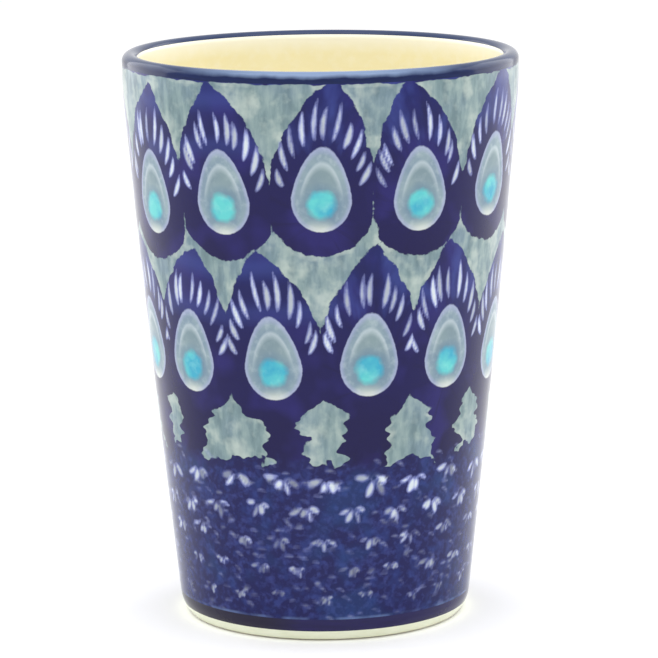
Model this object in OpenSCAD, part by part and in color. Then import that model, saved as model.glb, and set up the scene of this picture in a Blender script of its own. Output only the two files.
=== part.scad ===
// Tall handleless stoneware tumbler: one fired clay body in fused glaze coats.
// The origin is the centre of the foot on the table plane, and +Z runs up the axis.

/* [Wall] */
// Overall height, from the table to the top of the lip
height = 127; // [100:1:160]
// Outside diameter at the lip
rim_d = 88; // [73:1:106]
// Outside diameter of the wall just above the foot
base_d = 65.6; // [54:0.1:80]
// Finished wall thickness, glazes included
wall_t = 3.7; // [3:0.1:5]
// Radius of the slight outward bow of the wall
bow_r = 4000; // [2500:100:8000]
// Radius of the curve that brings the leaning wall upright below the lip
shoulder_r = 100; // [60:1:130]
// Upright stretch between that curve and the rounded lip
upright_h = 2; // [1:0.1:4]

/* [Floor] */
// Finished thickness of the floor, glazes included
floor_t = 5; // [4:0.1:7]
// Radius of the inside corner between wall and floor
corner_r = 8; // [5:0.1:12]

/* [Foot] */
// Radius of the outside round between wall and foot
foot_round_r = 8; // [6:0.1:10]
// How far the foot tucks in under the wall
foot_tuck = 2.2; // [1.5:0.1:3]
// Width of the bare ring that stands on the table
ring_w = 3.4; // [2.5:0.1:5]
// Depth of the hollow inside the ring
recess_h = 1.9; // [1.4:0.1:3]
// How far the trimmed inner side of the ring leans in over that depth
ring_lean = 1.6; // [0.8:0.1:2.5]

/* [Glaze] */
// Thickness of every glaze coat
glaze_t = 0.3; // [0.2:0.01:0.5]
// How far the cobalt lip line comes down the outside, below the lip round
lip_line_drop = 0.6; // [0.2:0.1:0.9]
// Where the lip line ends inside, in degrees round the lip from its outer side
lip_line_end = 150; // [120:1:170]
// How far the cobalt base line climbs the wall, above the foot round
base_line_rise = 0.6; // [0.2:0.1:3]
// Height above the table at which the base line ends
base_line_low = 2.4; // [1.4:0.1:3]
// Height above the table at which the clear foot glaze is wiped off
wipe_h = 0.3; // [0.2:0.1:0.9]

/* [Hidden] */

// Steps in one arc of the profile, and round the axis
arc_steps = 12;
round_steps = 180;

// A point on an arc, and an arc of points. Angles are in degrees above the horizontal.
function on_arc(c, r, a) = [c[0] + r * cos(a), c[1] + r * sin(a)];
function arc(c, r, from, to) =
    [for (i = [0:arc_steps]) on_arc(c, r, from + (to - from) * i / arc_steps)];
function reversed(list) = [for (i = [len(list) - 1:-1:0]) list[i]];

// Centres of the lip round, the shoulder curve and the foot round, as [radius, height]
lip_r = wall_t / 2;
lip_c = [rim_d / 2 - lip_r, height - lip_r];
shoulder_c = [rim_d / 2 - shoulder_r, height - lip_r - upright_h];
foot_c = [base_d / 2 - foot_round_r,
          sqrt(pow(foot_round_r, 2) - pow(foot_round_r - foot_tuck, 2))];

// Centre of the bow, which touches the foot round and the shoulder curve from outside,
// so that the three arcs run into each other without a corner
gap = shoulder_c - foot_c;
up_gap = gap / norm(gap);
bow_to_foot = bow_r - foot_round_r;
bow_to_shoulder = bow_r - shoulder_r;
along_gap = (pow(bow_to_foot, 2) - pow(bow_to_shoulder, 2) + gap * gap) / (2 * norm(gap));
off_gap = sqrt(pow(bow_to_foot, 2) - pow(along_gap, 2));
bow_c = foot_c + along_gap * up_gap + off_gap * [-up_gap[1], up_gap[0]];
function angle_from_bow(p) = atan2(p[1] - bow_c[1], p[0] - bow_c[0]);
wall_foot_a = angle_from_bow(foot_c);
wall_head_a = angle_from_bow(shoulder_c);

// Where the glaze coats end: round the foot, up the wall and down from the lip
function foot_angle(z) = asin((foot_c[1] - z) / foot_round_r);
base_line_a = wall_foot_a + base_line_rise / bow_r * 180 / PI;
lip_line_z = height - lip_r - lip_line_drop;

// The outside at depth d under its finished face, one stretch at a time from the foot up
function foot_stretch(d) = arc(foot_c, foot_round_r - d, -foot_angle(wipe_h), -foot_angle(base_line_low));
function base_line_stretch(d) = concat(
    arc(foot_c, foot_round_r - d, -foot_angle(base_line_low), wall_foot_a),
    [on_arc(bow_c, bow_r - d, base_line_a)]);
function wall_stretch(d) = concat(
    arc(bow_c, bow_r - d, base_line_a, wall_head_a),
    arc(shoulder_c, shoulder_r - d, wall_head_a, 0),
    [[rim_d / 2 - d, lip_line_z]]);
function lip_stretch(d) = concat(
    [[rim_d / 2 - d, lip_line_z]],
    arc(lip_c, lip_r - d, 0, lip_line_end));

// The inside at depth d under its finished face, from the lip line down to the axis
floor_z = recess_h - glaze_t + floor_t;
corner_to_bow = bow_r - wall_t - corner_r;
corner_a = asin((floor_z + corner_r - bow_c[1]) / corner_to_bow);
corner_c = on_arc(bow_c, corner_to_bow, corner_a);
function inside_stretch(d) = concat(
    arc(lip_c, lip_r - d, lip_line_end, 180),
    arc(shoulder_c, shoulder_r - wall_t + d, 0, wall_head_a),
    arc(bow_c, bow_r - wall_t + d, wall_head_a, corner_a),
    arc(corner_c, corner_r + d, corner_a, -90),
    [[0, floor_z - d]]);

// The bare clay below the wiped line, and the hollow that is trimmed under the floor
clay_round_r = foot_round_r - glaze_t;
table_a = asin(foot_c[1] / clay_round_r);
ring_inner = foot_c[0] + clay_round_r * cos(table_a) - ring_w;
function recess_side(z) = [ring_inner - ring_lean * z / recess_h, z];

module turned(outline) {
    rotate_extrude($fn = round_steps) polygon(outline);
}

// A coat of glaze between its free face and the face that it is fused to
module coat(free_face, clay_face) {
    turned(concat(free_face, reversed(clay_face)));
}

module clay_body() {
    color("#e9dfc4") turned(concat(
        [[0, recess_h], recess_side(recess_h), recess_side(0)],
        arc(foot_c, clay_round_r, -table_a, -foot_angle(wipe_h)),
        foot_stretch(glaze_t),
        base_line_stretch(glaze_t),
        wall_stretch(glaze_t),
        lip_stretch(glaze_t),
        inside_stretch(glaze_t)));
}

module inside_glaze() {
    color("#f6ecc0") coat(inside_stretch(0), inside_stretch(glaze_t));
}

module lip_line_glaze() {
    color("#2f3f86") coat(lip_stretch(0), lip_stretch(glaze_t));
}

module wall_glaze() {
    color("#34357a") coat(wall_stretch(0), wall_stretch(glaze_t));
}

module base_line_glaze() {
    color("#26244f") coat(base_line_stretch(0), base_line_stretch(glaze_t));
}

module foot_glaze() {
    color("#f1ecca") coat(foot_stretch(0), foot_stretch(glaze_t));
}

module underside_glaze() {
    color("#f1ecca") turned([
        [0, recess_h - glaze_t],
        recess_side(recess_h - glaze_t),
        recess_side(recess_h),
        [0, recess_h]]);
}

clay_body();
inside_glaze();
lip_line_glaze();
wall_glaze();
base_line_glaze();
foot_glaze();
underside_glaze();
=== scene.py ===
import math

import bmesh
import bpy
import numpy as np
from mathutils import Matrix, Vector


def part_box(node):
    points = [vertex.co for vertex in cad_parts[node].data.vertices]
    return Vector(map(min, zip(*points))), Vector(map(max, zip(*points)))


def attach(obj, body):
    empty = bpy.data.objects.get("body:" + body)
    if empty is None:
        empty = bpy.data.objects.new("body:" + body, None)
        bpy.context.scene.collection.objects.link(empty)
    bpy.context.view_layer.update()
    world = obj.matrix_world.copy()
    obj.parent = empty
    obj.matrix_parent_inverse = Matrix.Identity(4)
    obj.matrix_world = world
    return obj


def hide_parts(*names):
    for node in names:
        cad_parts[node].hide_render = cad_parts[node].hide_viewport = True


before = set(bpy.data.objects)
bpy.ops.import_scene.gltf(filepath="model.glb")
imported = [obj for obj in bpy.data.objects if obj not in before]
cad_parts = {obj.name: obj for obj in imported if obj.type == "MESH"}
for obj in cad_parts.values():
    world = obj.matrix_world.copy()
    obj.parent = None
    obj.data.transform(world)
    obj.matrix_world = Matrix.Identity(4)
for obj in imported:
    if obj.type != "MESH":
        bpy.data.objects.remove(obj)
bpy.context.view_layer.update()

# Fired clay body: light stoneware, cast in one piece with wall, floor and foot, then trimmed on a
# wheel and fired. Every glaze coat is fused to it, so only the ring that it stands on is bare.
mm = 0.001
wall_t = 3.7 * mm
glaze_t = 0.3 * mm
floor_t = 5 * mm
bow_r = 4000 * mm
shoulder_r = 100 * mm
upright_h = 2 * mm
corner_r = 8 * mm
foot_round_r = 8 * mm
foot_tuck = 2.2 * mm
base_r = 32.8 * mm
ring_w = 3.4 * mm
ring_lean = 1.6 * mm
ring_edge = 0.35 * mm
rim_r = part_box("lip_line_glaze")[1][0]
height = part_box("lip_line_glaze")[1][2]
lip_line_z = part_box("lip_line_glaze")[0][2]
lip_line_end = 150
base_line_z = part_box("wall_glaze")[0][2]
base_line_low = 2.4 * mm
wipe_z = 0.3 * mm
recess_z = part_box("underside_glaze")[1][2]


def on_arc(centre, radius, angle):
    """The point of an arc at an angle in degrees above the horizontal."""
    turned_by = math.radians(angle)
    return (centre[0] + radius * math.cos(turned_by), centre[1] + radius * math.sin(turned_by))


def arc(centre, radius, start, end, steps):
    """Points along an arc, both ends included."""
    return [on_arc(centre, radius, start + (end - start) * i / steps) for i in range(steps + 1)]


# The outline's arcs touch without a corner: foot round, long bow of the wall, shoulder and lip.
lip_r = wall_t / 2
lip_c = (rim_r - lip_r, height - lip_r)
shoulder_c = (rim_r - shoulder_r, lip_c[1] - upright_h)
foot_c = (base_r - foot_round_r, math.sqrt(foot_round_r**2 - (foot_round_r - foot_tuck) ** 2))
gap_x, gap_z = shoulder_c[0] - foot_c[0], shoulder_c[1] - foot_c[1]
gap = math.hypot(gap_x, gap_z)
along = ((bow_r - foot_round_r) ** 2 - (bow_r - shoulder_r) ** 2 + gap**2) / (2 * gap)
off = math.sqrt((bow_r - foot_round_r) ** 2 - along**2)
bow_c = (
    foot_c[0] + (along * gap_x - off * gap_z) / gap,
    foot_c[1] + (along * gap_z + off * gap_x) / gap)
wall_foot_a = math.degrees(math.atan2(foot_c[1] - bow_c[1], foot_c[0] - bow_c[0]))
wall_head_a = math.degrees(math.atan2(shoulder_c[1] - bow_c[1], shoulder_c[0] - bow_c[0]))
base_line_a = math.degrees(math.asin((base_line_z - bow_c[1]) / bow_r))
floor_z = recess_z - glaze_t + floor_t
corner_to_bow = bow_r - wall_t - corner_r
corner_a = math.degrees(math.asin((floor_z + corner_r - bow_c[1]) / corner_to_bow))
corner_c = on_arc(bow_c, corner_to_bow, corner_a)


def foot_angle(z):
    return -math.degrees(math.asin((foot_c[1] - z) / foot_round_r))


def foot_face(depth, steps):
    return arc(foot_c, foot_round_r - depth, foot_angle(wipe_z), foot_angle(base_line_low), steps)


def base_line_face(depth, steps):
    round_part = arc(foot_c, foot_round_r - depth, foot_angle(base_line_low), wall_foot_a, steps)
    return round_part + [on_arc(bow_c, bow_r - depth, base_line_a)]


def wall_face(depth, steps):
    bow = arc(bow_c, bow_r - depth, base_line_a, wall_head_a, steps)
    shoulder = arc(shoulder_c, shoulder_r - depth, wall_head_a, 0, max(2, steps // 10))
    upright = [(rim_r - depth, (shoulder_c[1] + lip_line_z) / 2), (rim_r - depth, lip_line_z)]
    return bow + shoulder[1:] + upright


def lip_face(depth, steps):
    return [(rim_r - depth, lip_line_z)] + arc(lip_c, lip_r - depth, 0, lip_line_end, steps)


def inside_face(depth, steps):
    lip = arc(lip_c, lip_r - depth, lip_line_end, 180, max(2, steps // 12))
    shoulder = arc(shoulder_c, shoulder_r - wall_t + depth, 0, wall_head_a, max(2, steps // 8))
    bow = arc(bow_c, bow_r - wall_t + depth, wall_head_a, corner_a, steps)
    corner = arc(corner_c, corner_r + depth, corner_a, -90, max(6, steps // 4))
    flat = [(corner_c[0] * (1 - i / 8), floor_z - depth) for i in range(1, 9)]
    return lip + shoulder + bow[1:] + corner[1:] + flat


def turned(name, outline, steps):
    """Spins an outline of (radius, height) points a full turn, as the cup is turned on its wheel."""
    points = [p for i, p in enumerate(outline) if i == 0 or math.dist(p, outline[i - 1]) > 0.002 * mm]
    bm = bmesh.new()
    ring = [bm.verts.new((r, 0, z)) for r, z in points]
    ends = [] if points[0][0] == 0 else [(ring[-1], ring[0])]
    edges = [bm.edges.new(pair) for pair in list(zip(ring, ring[1:])) + ends]
    wedges = 24
    wedge = math.tau / wedges
    upright_axis = {"cent": (0, 0, 0), "axis": (0, 0, 1), "dvec": (0, 0, 0)}
    bmesh.ops.spin(bm, geom=ring + edges, angle=wedge, steps=steps // wedges, **upright_axis)
    whole_wedge = bm.verts[:] + bm.edges[:] + bm.faces[:]
    bmesh.ops.spin(
        bm, geom=whole_wedge, angle=math.tau - wedge, steps=wedges - 1, use_duplicate=True,
        **upright_axis)
    bmesh.ops.remove_doubles(bm, verts=bm.verts, dist=0.001 * mm)
    bmesh.ops.recalc_face_normals(bm, faces=bm.faces)
    mesh = bpy.data.meshes.new(name)
    bm.to_mesh(mesh)
    bm.free()
    mesh.shade_smooth()
    mesh.set_sharp_from_angle(angle=math.radians(35))
    # No wheel runs quite true: the cup is a little out of round, the same in every coat.
    spots = np.empty(len(mesh.vertices) * 3)
    mesh.vertices.foreach_get("co", spots)
    spots = spots.reshape(-1, 3)
    lobes = np.arctan2(spots[:, 1], spots[:, 0])
    swell = 1 + 0.0009 * np.cos(2 * lobes + 0.7) + 0.0005 * np.cos(3 * lobes + 2)
    spots[:, :2] *= swell[:, None]
    mesh.vertices.foreach_set("co", spots.ravel())
    mesh.update()
    piece = bpy.data.objects.new(name, mesh)
    bpy.context.collection.objects.link(piece)
    return piece


def linear(colour):
    """An sRGB hex colour as linear RGBA."""
    parts = [int(colour[i:i + 2], 16) / 255 for i in (1, 3, 5)]
    return [c / 12.92 if c <= 0.04045 else ((c + 0.055) / 1.055) ** 2.4 for c in parts] + [1]


def add(tree, kind, feeds, **settings):
    """Adds a node with its settings. feeds gives each input a value or the socket that feeds it."""
    node = tree.nodes.new("ShaderNode" + kind)
    for name, value in settings.items():
        setattr(node, name, value)
    for socket, value in feeds.items():
        if isinstance(value, bpy.types.NodeSocket):
            tree.links.new(value, node.inputs[socket])
        else:
            node.inputs[socket].default_value = value
    return node


def finish(piece, name):
    """Starts a material on a piece, with its object coordinates and an empty shader."""
    made = bpy.data.materials.new(name)
    made.use_nodes = True
    tree = made.node_tree
    tree.nodes.clear()
    shader = add(tree, "BsdfPrincipled", {})
    add(tree, "OutputMaterial", {"Surface": shader.outputs[0]})
    piece.data.materials.append(made)
    return tree, shader, add(tree, "TexCoord", {}).outputs["Object"]


# The bare ring keeps the chatter of the trimming tool: shallow rings and a softened outer edge.
clay_round_r = foot_round_r - glaze_t
ring_outer = foot_c[0] + math.sqrt(clay_round_r**2 - foot_c[1] ** 2)
ring_inner = ring_outer - ring_w
recess_side = [(ring_inner - ring_lean, recess_z), (ring_inner - ring_edge, ring_edge), (ring_inner, 0)]
ring_flat = [(ring_inner + (ring_w - ring_edge) * i / 6, 0) for i in range(1, 7)]
clay_outline = (
    [(0, recess_z)] + recess_side + ring_flat
    + arc(foot_c, clay_round_r, -math.degrees(math.asin((foot_c[1] - ring_edge) / clay_round_r)),
          foot_angle(wipe_z), 3)
    + foot_face(glaze_t, 8) + base_line_face(glaze_t, 6) + wall_face(glaze_t, 20)
    + lip_face(glaze_t, 12) + inside_face(glaze_t, 20))
clay = turned("fired_clay_body", clay_outline, 240)

# Fired stoneware, sponged smooth: dry and matt, warm off-white, with a fine grain and iron specks.
tree, shader, place = finish(clay, "bare_stoneware")
grain = add(tree, "TexNoise", {"Vector": place, "Scale": 1 / (0.5 * mm), "Detail": 4}).outputs[0]
tint = add(tree, "TexNoise", {"Vector": place, "Scale": 1 / (7 * mm), "Detail": 3}).outputs[0]
specks = add(tree, "TexVoronoi", {"Vector": place, "Scale": 1 / (1.6 * mm)}).outputs["Distance"]
speck = add(tree, "MapRange", {0: specks, 1: 0.1, 2: 0.06}).outputs[0]
paint = add(tree, "Mix", {0: tint, 6: linear("#cfc09c"), 7: linear("#e2d6b8")}, data_type="RGBA").outputs[2]
for share, colour in ((grain, "#d3c6a6"), (speck, "#8a6a48")):
    paint = add(tree, "Mix", {0: share, 6: paint, 7: linear(colour)}, data_type="RGBA").outputs[2]
tree.links.new(paint, shader.inputs["Base Color"])
shader.inputs["Roughness"].default_value = 0.85
shader.inputs["IOR"].default_value = 1.5
shader.inputs["Specular IOR Level"].default_value = 0.3
grit = add(tree, "Bump", {"Height": grain, "Distance": 0.05 * mm, "Strength": 0.6}).outputs[0]
tree.links.new(grit, shader.inputs["Normal"])
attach(clay, "root")
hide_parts("clay_body")

# Inside glaze: clear gloss glaze over cream slip, poured in and swirled round, from the lip line
# down over the floor. It pools a little in the corner, and just under the lip it has a painted highlight.
lining = turned("cream_lining", inside_face(0, 90) + inside_face(glaze_t, 20)[::-1], 240)

# Fired slip under gloss: a warm cream, mottled where the slip ran, with faint rings from turning.
tree, shader, place = finish(lining, "cream_slip_under_gloss")
cloud = add(tree, "TexNoise", {"Vector": place, "Scale": 1 / (14 * mm), "Detail": 3}).outputs[0]
fine = add(tree, "TexNoise", {"Vector": place, "Scale": 1 / (2.2 * mm), "Detail": 3}).outputs[0]
high = add(tree, "SeparateXYZ", {0: place}).outputs[2]
# Painted highlight: the strip just under the lip line is lightened to near white.
painted_highlight_share = add(tree, "MapRange", {0: high, 1: lip_line_z - 3 * mm, 2: lip_line_z + 1 * mm}).outputs[0]
mottle = add(tree, "MapRange", {0: fine, 1: 0.45, 2: 0.75, 4: 0.5}).outputs[0]
paint = add(tree, "Mix", {0: cloud, 6: linear("#f8edbe"), 7: linear("#fbf5d4")}, data_type="RGBA").outputs[2]
for share, colour in ((mottle, "#fffae6"), (painted_highlight_share, "#fffdf0")):
    paint = add(tree, "Mix", {0: share, 6: paint, 7: linear(colour)}, data_type="RGBA").outputs[2]
tree.links.new(paint, shader.inputs["Base Color"])
shader.inputs["Roughness"].default_value = 0.14
shader.inputs["IOR"].default_value = 1.5
shader.inputs["Specular IOR Level"].default_value = 0.3
swirl = add(tree, "Mapping", {0: place, 3: (0.1, 0.1, 1)}).outputs[0]
rings = add(tree, "TexNoise", {"Vector": swirl, "Scale": 1 / (1.8 * mm), "Detail": 2}).outputs[0]
ripple = add(tree, "Bump", {"Height": rings, "Distance": 0.06 * mm, "Strength": 0.5}).outputs[0]
tree.links.new(ripple, shader.inputs["Normal"])
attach(lining, "root")
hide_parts("inside_glaze")

# Lip line: cobalt banded on with a full brush while the cup turned, then glazed over. Its crest
# has a painted highlight in paler blue, strongest at the front; below the crest the band stays dark.
lip = turned("lip_line", lip_face(0, 26) + lip_face(glaze_t, 10)[::-1], 480)
tree, shader, place = finish(lip, "banded_cobalt_under_gloss")
sweep = add(tree, "Mapping", {0: place, 3: (0.12, 0.12, 1)}).outputs[0]
brushed = add(tree, "TexNoise", {"Vector": sweep, "Scale": 1 / (0.7 * mm), "Detail": 3}).outputs[0]
blot = add(tree, "TexNoise", {"Vector": place, "Scale": 1 / (5 * mm), "Detail": 3}).outputs[0]
high = add(tree, "SeparateXYZ", {0: place}).outputs[2]
# Painted highlight: a paler blue on the crest of the lip, full at the front and faint at the back.
uneven = add(tree, "Math", {0: blot, 1: 1.2 * mm, 2: high}, operation="MULTIPLY_ADD").outputs[0]
crest_highlight = add(tree, "MapRange", {0: uneven, 1: height - 0.8 * mm, 2: height + 0.1 * mm}).outputs[0]
toward_back = add(tree, "SeparateXYZ", {0: place}).outputs[1]
painted_highlight_share = add(tree, "MapRange", {0: toward_back, 1: -31 * mm, 2: -42 * mm, 3: 0.15, 4: 1}).outputs[0]
crest_highlight = add(tree, "Math", {0: crest_highlight, 1: painted_highlight_share}, operation="MULTIPLY").outputs[0]
tones = {0: brushed, 6: linear("#071238"), 7: linear("#182858")}
paint = add(tree, "Mix", tones, data_type="RGBA").outputs[2]
paint = add(tree, "Mix", {0: crest_highlight, 6: paint, 7: linear("#7e93b6")}, data_type="RGBA").outputs[2]
tree.links.new(paint, shader.inputs["Base Color"])
shader.inputs["Roughness"].default_value = 0.12
shader.inputs["IOR"].default_value = 1.5
shader.inputs["Specular IOR Level"].default_value = 0.22
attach(lip, "root")
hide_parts("lip_line_glaze")

# Painted wall: the outside coat, from the base line up to the lip line. It is washed grey-green,
# stamped and brushed in cobalt with a plain repeat of peacock-eye feathers over rows of dabs, and
# dipped in clear glaze. Every place in the pattern is worked out from its spacing, in mm.
wall_outside = wall_face(0, 166)
wall_inside = wall_face(glaze_t, 5)[::-1]
wall = turned("painted_wall", wall_outside + wall_inside, 480)
# Two rows of feathers, evenly spaced; the lower row stands half a step round from the upper one.
feathers_in_row = 12
upper_row = 100
lower_row = 64
barbs_in_fan = 11
stalk_half = 4.5
eye_half = 6.5
inner_half = 4.6
pupil_r = 3.2
# Five rows of dabs below them, evenly spaced too, each row smaller and fainter than the last.
dab_rows = 5
dabs_in_row = 22
first_dab_row = 36
dab_row_step = 6.5
faint_dabs = 500


def leaf(x, y, half_wide=11.5, half_tall=25):
    """How deep a point is inside a feather's ground: a leaf between two arcs, with a round hem."""
    arc_radius = (half_tall**2 + half_wide**2) / (2 * half_wide)
    side_arcs = arc_radius - np.hypot(np.abs(x) + arc_radius - half_wide, y)
    return np.minimum(side_arcs, (y + 14 - 0.05 * x**2) * 0.9)


def egg(x, y, half_wide):
    """How deep a point is inside an upright egg with its narrow end up."""
    up = y + 0.2 * half_wide
    across = np.abs(x) / (half_wide * (1 - 0.02 * np.clip(up, 0, 20)))
    rise = np.abs(up) / (half_wide * np.where(up > 0, 1.75, 1.1))
    return (1 - np.hypot(across, rise)) * half_wide


def barb_fan():
    """Pale barbs round the upper part of an eye: each starts beside it and sweeps up and out."""
    strokes = []
    for i in range(barbs_in_fan):
        spread = math.radians(-78 + 156 * i / (barbs_in_fan - 1) + chance.normal(0, 2.5))
        foot_x, foot_y = 8.3 * math.sin(spread), 13 * math.cos(spread) - 1.5
        length = (4.5 + 4 * math.cos(spread)) * chance.uniform(0.75, 1.1)
        tip_x = foot_x + length * math.sin(0.3 * spread)
        tip_y = foot_y + length * math.cos(0.3 * spread)
        bend = math.copysign(0.4, spread)
        stroke = [tip_x, tip_y, foot_x, foot_y, bend, chance.uniform(0.45, 0.7)]
        strokes.append((stroke, chance.uniform(0.55, 1)))
    return strokes


def brush(x, y, stroke, steps=7):
    """How deep a point is inside one bent stroke, which swells late and lifts off to a point."""
    x0, y0, x2, y2, bend, half_width = stroke
    length = math.hypot(x2 - x0, y2 - y0)
    x1 = (x0 + x2) / 2 - 2 * bend * (y2 - y0) / length
    y1 = (y0 + y2) / 2 + 2 * bend * (x2 - x0) / length
    depth = np.full(x.shape, -9.0)
    ax, ay = x0, y0
    for i in range(steps):
        t = (i + 1) / steps
        bx = (1 - t) ** 2 * x0 + 2 * t * (1 - t) * x1 + t * t * x2
        by = (1 - t) ** 2 * y0 + 2 * t * (1 - t) * y1 + t * t * y2
        dx, dy = bx - ax, by - ay
        part = np.clip(((x - ax) * dx + (y - ay) * dy) / (dx * dx + dy * dy), 0, 1)
        half = half_width * np.sin(np.pi * ((i + part) / steps) ** 1.2) ** 0.65
        depth = np.maximum(depth, half - np.hypot(x - ax - part * dx, y - ay - part * dy))
        ax, ay = bx, by
    return depth


# The layout is painted as depths in mm at every point of the mesh; the material cuts the edges.
spots = np.empty(len(wall.data.vertices) * 3)
wall.data.vertices.foreach_get("co", spots)
spots = spots.reshape(-1, 3) / mm
around = np.degrees(np.arctan2(spots[:, 0], -spots[:, 1]))
radius = np.hypot(spots[:, 0], spots[:, 1])
up = spots[:, 2]
chance = np.random.default_rng(11)
ground, eye, inner, barb = (np.full(len(up), -9.0) for _ in range(4))
pupil = np.full(len(up), 9.0)
paleness, turn, whiter, lift = (np.zeros(len(up)) for _ in range(4))


def near(angle, level, wide, tall):
    """The points near a spot, with their distances from it round and up the wall."""
    x = np.radians((around - angle + 180) % 360 - 180) * radius
    y = up - level
    found = np.flatnonzero((np.abs(x) < wide) & (np.abs(y) < tall))
    return found, x[found], y[found]


def curled(x, y, curl):
    """Points turned about the eye, the more the farther out they are, so that a feather curls over."""
    twist = np.radians(curl) * np.hypot(x, y) / 20
    return x * np.cos(twist) + y * np.sin(twist), y * np.cos(twist) - x * np.sin(twist)


def lay_barb(found, x, y, stroke, pale):
    depth = brush(x, y, stroke)
    nearer = depth > barb[found]
    barb[found[nearer]] = depth[nearer]
    paleness[found[nearer]] = pale


for lower, row_level in enumerate((upper_row, lower_row)):
    for k in range(feathers_in_row):
        angle = 360 / feathers_in_row * (k + 0.5 * lower) + chance.normal(0, 0.8)
        found, x, y = near(angle, row_level + chance.normal(0, 0.8), 24, 32)
        lean = 1 if k % 2 else -1
        x, y = curled(x, y, lean * chance.uniform(2, 8))
        depth = leaf(x, y)
        if lower:  # the stalk of a lower feather runs down into the dabbed ground
            depth = np.maximum(depth, np.minimum(stalk_half - np.abs(x), -8 - y))
        own = depth > ground[found]
        found, x, y = found[own], x[own], y[own]
        ground[found] = depth[own]
        barb[found] = -9
        turn[found] = np.arctan2(x, y + 6) * 9 + angle
        whiter[found] = 6 - np.hypot(x, y + 9.5)
        lift[found] = y
        eye[found] = egg(x, y, eye_half)
        inner[found] = egg(x, y + 0.5, inner_half)
        pupil[found] = np.hypot(x, y + 2.5) / pupil_r
        for stroke, pale in barb_fan():
            lay_barb(found, x, y, stroke, pale)

for row in range(dab_rows):
    size = 1.2 - 0.14 * row
    for k in range(dabs_in_row):
        angle = 360 / dabs_in_row * (k + 0.5 * (row % 2)) + chance.normal(0, 1.0)
        level = first_dab_row - dab_row_step * row + chance.normal(0, 0.5)
        found, x, y = near(angle, level, 8, 8)
        x, y = x / size, y / size
        for spread in (-65, -25, 15, 55):
            spread = math.radians(spread + chance.normal(0, 8))
            dab = []
            for reach in (0.8, chance.uniform(2.4, 4.2)):
                dab += [reach * math.sin(spread), 1.5 - reach * math.cos(spread)]
            dab += [0.2, chance.uniform(0.35, 0.75)]
            lay_barb(found, x, y, dab, (1 - 0.13 * row) * chance.choice((0.3, 0.55, 0.8, 1)))
for _ in range(faint_dabs):  # faint dabs between the rows, where the brush was nearly dry
    found, x, y = near(chance.uniform(-180, 180), 5 + 37 * chance.random(), 4, 4)
    drop, reach = chance.uniform(-0.8, 0.2), chance.uniform(0.7, 1.2)
    faint = [reach, drop, -reach, -drop, -0.3, chance.uniform(0.25, 0.45)]
    lay_barb(found, x, y, faint, chance.uniform(0.08, 0.3))

fields = {"painted": (ground, barb, eye), "toned": (paleness, pupil, inner), "combed": (turn, whiter, lift)}
for name, field in fields.items():
    held = wall.data.attributes.new(name, "FLOAT_VECTOR", "POINT")
    held.data.foreach_set("vector", np.clip(np.stack(field, 1), -300, 300).astype(np.float32).ravel())

# The unrolled wall as its own map: the front half over the back half, and the fused side below.
outline = np.array(wall_outside + wall_inside) / mm
corners = np.empty(len(wall.data.loops), int)
wall.data.loops.foreach_get("vertex_index", corners)
corners = corners.reshape(-1, 4)
off_outline = np.abs(radius[:, None] - outline[:, 0]) + 2 * np.abs(up[:, None] - outline[:, 1])
rows = np.argmin(off_outline, 1)[corners].astype(float)
rows += len(outline) * (rows.max(1, keepdims=True) - rows > len(outline) / 2)
first = around[corners[:, :1]]
angles = first + (around[corners] - first + 180) % 360 - 180
centre = angles.mean(1, keepdims=True)
is_back = np.abs((centre + 180) % 360 - 180) > 90
angles += (centre - 180 * is_back + 180) % 360 - 180 - centre
last = len(wall_outside) - 1
shown = 0.52 - 0.48 * is_back + 0.46 * rows / last
fused = 0.002 + 0.016 * is_back + 0.014 * (rows - last) / (len(outline) - last)
is_fused = rows.mean(1, keepdims=True) > last
unrolled = np.stack([angles / 180 + 0.5, np.where(is_fused, fused, shown)], 2)
wall.data.uv_layers.new(name="OFBake").data.foreach_set("uv", unrolled.astype(np.float32).ravel())

tree, shader, place = finish(wall, "brushed_underglaze_under_gloss")
ground, barb, eye, paleness, pupil, inner, turn, whiter, lift = [
    value for name in fields for value in
    add(tree, "SeparateXYZ", {0: add(tree, "Attribute", {}, attribute_name=name).outputs["Vector"]}).outputs]
high = add(tree, "SeparateXYZ", {0: place}).outputs[2]
upright = add(tree, "Mapping", {0: place, 3: (1, 1, 0.3)}).outputs[0]
level = add(tree, "Mapping", {0: place, 3: (0.25, 0.25, 1)}).outputs[0]
drawn_out = add(tree, "Math", {0: lift, 1: 0.16}, operation="MULTIPLY").outputs[0]
strands = add(tree, "CombineXYZ", {0: turn, 1: drawn_out})
grains = (
    (place, 0.9, 3), (place, 4.2, 2), (level, 2.6, 1), (place, 6, 3), (upright, 1.9, 4), (place, 2.6, 3),
    (place, 11, 2), (place, 1.4, 4))
ragged, wander, fingers, cloud, streak, blot, patch, fleck = [
    add(tree, "TexNoise", {"Vector": vector, "Scale": 1 / (size * mm), "Detail": detail}).outputs[0]
    for vector, size, detail in grains]
hair = add(tree, "TexNoise", {"Vector": strands.outputs[0], "Scale": 0.5, "Detail": 3}).outputs[0]
edge = add(tree, "MapRange", {0: ragged, 1: 0.25, 2: 0.75, 3: -0.2, 4: 0.2}).outputs[0]
fine_edge = add(tree, "MapRange", {0: ragged, 1: 0.25, 2: 0.75, 3: -0.07, 4: 0.07}).outputs[0]
sway = add(tree, "MapRange", {0: wander, 1: 0.25, 2: 0.75, 3: -0.6, 4: 0.6}).outputs[0]
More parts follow.
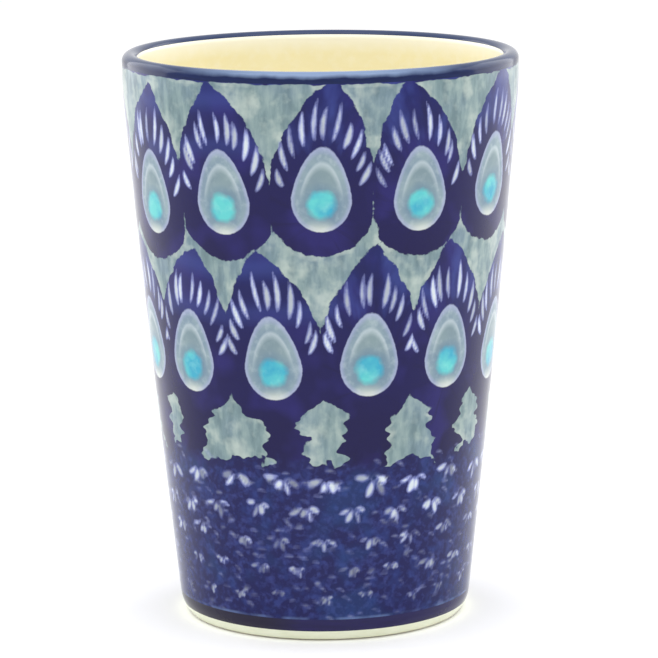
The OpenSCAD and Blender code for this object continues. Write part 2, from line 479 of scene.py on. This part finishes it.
# Low on the wall the dark ground ends in level fingers, and the dabbed ground fills all below.
low = add(tree, "MapRange", {0: high, 1: 56 * mm, 2: 48 * mm}).outputs[0]
finger = add(tree, "MapRange", {0: fingers, 1: 0.3, 2: 0.7, 3: -1.9, 4: 1.9}).outputs[0]
finger = add(tree, "Math", {0: finger, 1: low}, operation="MULTIPLY").outputs[0]
teeth = add(tree, "MapRange", {0: wander, 1: 0.3, 2: 0.7, 3: -2, 4: 2}).outputs[0]
dabbed = add(tree, "MapRange", {0: high, 1: 43 * mm, 2: 39 * mm, 3: -2, 4: 2}, clamp=False).outputs[0]
dabbed = add(tree, "Math", {0: dabbed, 1: teeth}, operation="ADD").outputs[0]
deep = ground
for part in (edge, sway, finger):
    deep = add(tree, "Math", {0: deep, 1: part}, operation="ADD").outputs[0]
deep = add(tree, "Math", {0: deep, 1: dabbed}, operation="MAXIMUM").outputs[0]
lip_run = add(tree, "MapRange", {0: high, 1: lip_line_z - 1 * mm, 2: lip_line_z, 3: -1, 4: 0.3}).outputs[0]
lip_run = add(tree, "Math", {0: lip_run, 1: sway}, operation="ADD").outputs[0]
deep = add(tree, "Math", {0: deep, 1: lip_run}, operation="MAXIMUM").outputs[0]
barb = add(tree, "Math", {0: barb, 1: fine_edge}, operation="ADD").outputs[0]
eye = add(tree, "Math", {0: eye, 1: fine_edge}, operation="ADD").outputs[0]
is_deep = add(tree, "MapRange", {0: deep, 1: -0.12, 2: 0.12}).outputs[0]
is_barb = add(tree, "MapRange", {0: barb, 1: -0.26, 2: 0.16}).outputs[0]
is_barb = add(tree, "Math", {0: is_barb, 1: paleness}, operation="MULTIPLY").outputs[0]
is_eye = add(tree, "MapRange", {0: eye, 1: -0.12, 2: 0.12}).outputs[0]


def layered(paint, layers):
    """Lays colours over a paint, each as far as its share: a socket, and how its range maps."""
    for share, low, high, most, colour in layers:
        share = add(tree, "MapRange", {0: share, 1: low, 2: high, 4: most}).outputs[0]
        over = linear(colour) if isinstance(colour, str) else colour
        paint = add(tree, "Mix", {0: share, 6: paint, 7: over}, data_type="RGBA").outputs[2]
    return paint


# The wash: grey-green, blotched and dragged in upright streaks, and bare cream beside the feathers.
beside = add(tree, "MapRange", {0: deep, 1: -4.5, 2: -0.8}).outputs[0]
cream = add(tree, "Math", {0: cloud, 1: beside}, operation="MULTIPLY").outputs[0]
wash = layered(linear("#768c8f"), (
    (patch, 0.42, 0.66, 0.5, "#6d8298"), (streak, 0.48, 0.68, 0.5, "#a0b1ad"),
    (streak, 0.5, 0.34, 0.55, "#5a6f77"),
    (blot, 0.52, 0.7, 0.35, "#acbab2"), (cream, 0.48, 0.64, 0.45, "#c6d0c6")))

# The cobalt: near black at the tips, blue where the brush ran dry, combed along each feather.
cobalt = layered(linear("#15114a"), (
    (lift, 2, 22, 0.7, "#182162"), (lift, -6, -14, 0.35, "#120b34"), (patch, 0.5, 0.66, 0.5, "#2a2470"),
    (hair, 0.45, 0.3, 0.5, "#110c38")))
feathery = add(tree, "MapRange", {0: lift, 1: -4, 2: 12}).outputs[0]
feathery = add(tree, "Math", {0: hair, 1: feathery}, operation="MULTIPLY").outputs[0]
cobalt = layered(cobalt, ((feathery, 0.46, 0.62, 0.52, "#3a4890"),))
dabbed_blue = layered(linear("#17194f"), (
    (fleck, 0.48, 0.68, 0.65, "#353f80"), (blot, 0.5, 0.72, 0.5, "#263a7c"),
    (patch, 0.52, 0.66, 0.25, "#1f4a80")))
cobalt = layered(cobalt, ((dabbed, -1.5, 2.5, 1, dabbed_blue),))
pale_blue = layered(linear("#8f97cf"), ((barb, 0.05, 0.4, 1, "#cdd6dc"),))
paint = layered(wash, ((is_deep, 0, 1, 1, cobalt), (is_barb, 0, 1, 1, pale_blue)))

# The eye: pale grey, whiter below, an inner egg with a light rim above, and a turquoise pupil.
upper = add(tree, "MapRange", {0: lift, 1: -3, 2: 4}).outputs[0]
crescent = add(tree, "MapRange", {0: inner, 1: -0.3, 2: 0.1}).outputs[0]
fades = add(tree, "MapRange", {0: inner, 1: 1.0, 2: 0.1}).outputs[0]
for part in (fades, upper):
    crescent = add(tree, "Math", {0: crescent, 1: part}, operation="MULTIPLY").outputs[0]
shaded = add(tree, "MapRange", {0: inner, 1: 0.1, 2: 0.7}).outputs[0]
shaded = add(tree, "Math", {0: shaded, 1: upper}, operation="MULTIPLY").outputs[0]
soft_pupil = add(tree, "MapRange", {0: blot, 1: 0.25, 2: 0.75, 3: -0.14, 4: 0.14}).outputs[0]
soft_pupil = add(tree, "Math", {0: pupil, 1: soft_pupil}, operation="ADD").outputs[0]
turquoise = layered(linear("#3b9fbb"), ((cloud, 0.38, 0.62, 1, "#5fc3c2"), (blot, 0.5, 0.75, 0.4, "#8fd8d0")))
eye_paint = layered(linear("#798d9c"), (
    (cloud, 0.4, 0.65, 0.8, "#90a3a8"), (fleck, 0.5, 0.7, 0.3, "#b9c6cc"), (eye, 1.0, 0.1, 0.6, "#a5a9d0"),
    (shaded, 0, 1, 0.6, "#74898c"), (crescent, 0, 1, 0.5, "#c2ced2"),
    (whiter, 1.5, 5, 0.75, "#d8ddcd"),
    (pupil, 1.6, 1.0, 0.6, "#587a90"), (soft_pupil, 1.14, 0.74, 1, turquoise)))
paint = layered(paint, ((is_eye, 0, 1, 1, eye_paint),))

# Just above the base line the pale slip shows through as a thin broken line.
above_line = add(tree, "MapRange", {0: high, 1: base_line_z + 0.7 * mm, 2: base_line_z + 0.3 * mm}).outputs[0]
gaps = add(tree, "MapRange", {0: cloud, 1: 0.42, 2: 0.6}).outputs[0]
line = add(tree, "Math", {0: above_line, 1: gaps}, operation="MULTIPLY").outputs[0]
paint = layered(paint, ((line, 0, 1, 0.5, "#6f86b4"),))
tree.links.new(paint, shader.inputs["Base Color"])
# A poured gloss glaze: very smooth, with the faint orange peel of a thick coat.
shader.inputs["Roughness"].default_value = 0.1
shader.inputs["IOR"].default_value = 1.5
shader.inputs["Specular IOR Level"].default_value = 0.22
peel = add(tree, "Bump", {"Height": cloud, "Distance": 0.12 * mm, "Strength": 0.25}).outputs[0]
tree.links.new(peel, shader.inputs["Normal"])
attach(wall, "root")
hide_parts("wall_glaze")

# Base line: one band of dark cobalt, drawn round the foot of the wall with the cup on the wheel.
# It is laid on thick, so it fires to a near-black violet that browns where it is thickest.
base_line = turned("base_line", base_line_face(0, 10) + base_line_face(glaze_t, 4)[::-1], 480)
tree, shader, place = finish(base_line, "thick_cobalt_under_gloss")
sweep = add(tree, "Mapping", {0: place, 3: (0.1, 0.1, 1)}).outputs[0]
brushed = add(tree, "TexNoise", {"Vector": sweep, "Scale": 1 / (0.8 * mm), "Detail": 3}).outputs[0]
thick = add(tree, "TexNoise", {"Vector": place, "Scale": 1 / (18 * mm), "Detail": 2}).outputs[0]
across = add(tree, "SeparateXYZ", {0: place}).outputs[0]
across = add(tree, "Math", {0: thick, 1: 16 * mm, 2: across}, operation="MULTIPLY_ADD").outputs[0]
is_thick = add(tree, "MapRange", {0: across, 1: 2 * mm, 2: -8 * mm}).outputs[0]
tones = {0: brushed, 6: linear("#17123e"), 7: linear("#231e56")}
paint = add(tree, "Mix", tones, data_type="RGBA").outputs[2]
paint = add(tree, "Mix", {0: is_thick, 6: paint, 7: linear("#1b1630")}, data_type="RGBA").outputs[2]
tree.links.new(paint, shader.inputs["Base Color"])
shader.inputs["Roughness"].default_value = 0.14
shader.inputs["IOR"].default_value = 1.5
shader.inputs["Specular IOR Level"].default_value = 0.3
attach(base_line, "root")
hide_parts("base_line_glaze")

# Foot strip: clear glaze straight on the light clay, below the base line. It was wiped off with a
# sponge just above the table, which leaves a soft, slightly raised edge.
def clear_gloss(piece, name, cloud_size):
    """Clear glaze over light clay: the clay shows through pale and faintly clouded, under gloss."""
    tree, shader, place = finish(piece, name)
    scale = 1 / (cloud_size * mm)
    cloud = add(tree, "TexNoise", {"Vector": place, "Scale": scale, "Detail": 4}).outputs[0]
    tones = {0: cloud, 6: linear("#dde1c4"), 7: linear("#eef0dc")}
    paint = add(tree, "Mix", tones, data_type="RGBA").outputs[2]
    tree.links.new(paint, shader.inputs["Base Color"])
    shader.inputs["Roughness"].default_value = 0.2
    shader.inputs["IOR"].default_value = 1.5
    shader.inputs["Specular IOR Level"].default_value = 0.3


foot = turned("foot_strip", foot_face(0, 10) + foot_face(glaze_t, 4)[::-1], 480)
clear_gloss(foot, "clear_gloss_on_stoneware", 4)
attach(foot, "root")
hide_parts("foot_glaze")

# Underside glaze: the same clear glaze in the shallow hollow inside the foot ring.
hollow_r = ring_inner - ring_lean
disc_outline = [(0, recess_z - glaze_t)] + [
    (hollow_r * i / 12, recess_z - glaze_t) for i in range(1, 12)
] + [(hollow_r + ring_lean * glaze_t / recess_z, recess_z - glaze_t), (hollow_r, recess_z), (0, recess_z)]
underside = turned("underside_disc", disc_outline, 240)
clear_gloss(underside, "clear_gloss_in_foot_hollow", 6)
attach(underside, "root")
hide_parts("underside_glaze")

# Studio: a plain pale table, an even white surround, and three soft lamps: one overhead, and one
# at each side behind the cup.
table_mesh = bpy.data.meshes.new("table")
bm = bmesh.new()
bmesh.ops.create_grid(bm, x_segments=1, y_segments=1, size=4)
bm.to_mesh(table_mesh)
bm.free()
table = bpy.data.objects.new("table", table_mesh)
bpy.context.collection.objects.link(table)
tree, shader, place = finish(table, "white_table")
shader.inputs["Base Color"].default_value = linear("#fdfdfd")
shader.inputs["Roughness"].default_value = 0.9
world = bpy.data.worlds.new("white_surround")
world.use_nodes = True
world.node_tree.nodes["Background"].inputs["Color"].default_value = (1, 1, 1, 1)
world.node_tree.nodes["Background"].inputs["Strength"].default_value = 1.0
bpy.context.scene.world = world
lamp_data = bpy.data.lights.new("soft_lamp", "AREA")
lamp_data.size = 0.9
lamp_data.energy = 4.3
lamp_places = (
    ((0, -0.3, 1.1), (-15, 0, 0)),
    ((0.8, 0.5, 0.35), (80, 0, 122)),
    ((-0.8, 0.5, 0.35), (80, 0, -122)))
for place, turned_to in lamp_places:
    lamp = bpy.data.objects.new("soft_lamp", lamp_data)
    lamp.location = place
    lamp.rotation_euler = [math.radians(angle) for angle in turned_to]
    bpy.context.collection.objects.link(lamp)
bpy.context.scene.view_settings.view_transform = "Standard"

# The camera stands 0.82 m in front of the cup and 218 mm up, and looks a little down on it.
camera_data = bpy.data.cameras.new("camera")
camera_data.lens = 203.9
camera_data.sensor_width = 36
camera_data.shift_x = 0.0095
camera_data.dof.use_dof = False
camera = bpy.data.objects.new("camera", camera_data)
camera.location = (0, -0.824, 0.2183)
camera.rotation_mode = "ZXY"
camera.rotation_euler = (math.radians(90 - 10.61), 0, -0.0092)
bpy.context.collection.objects.link(camera)
bpy.context.scene.camera = camera
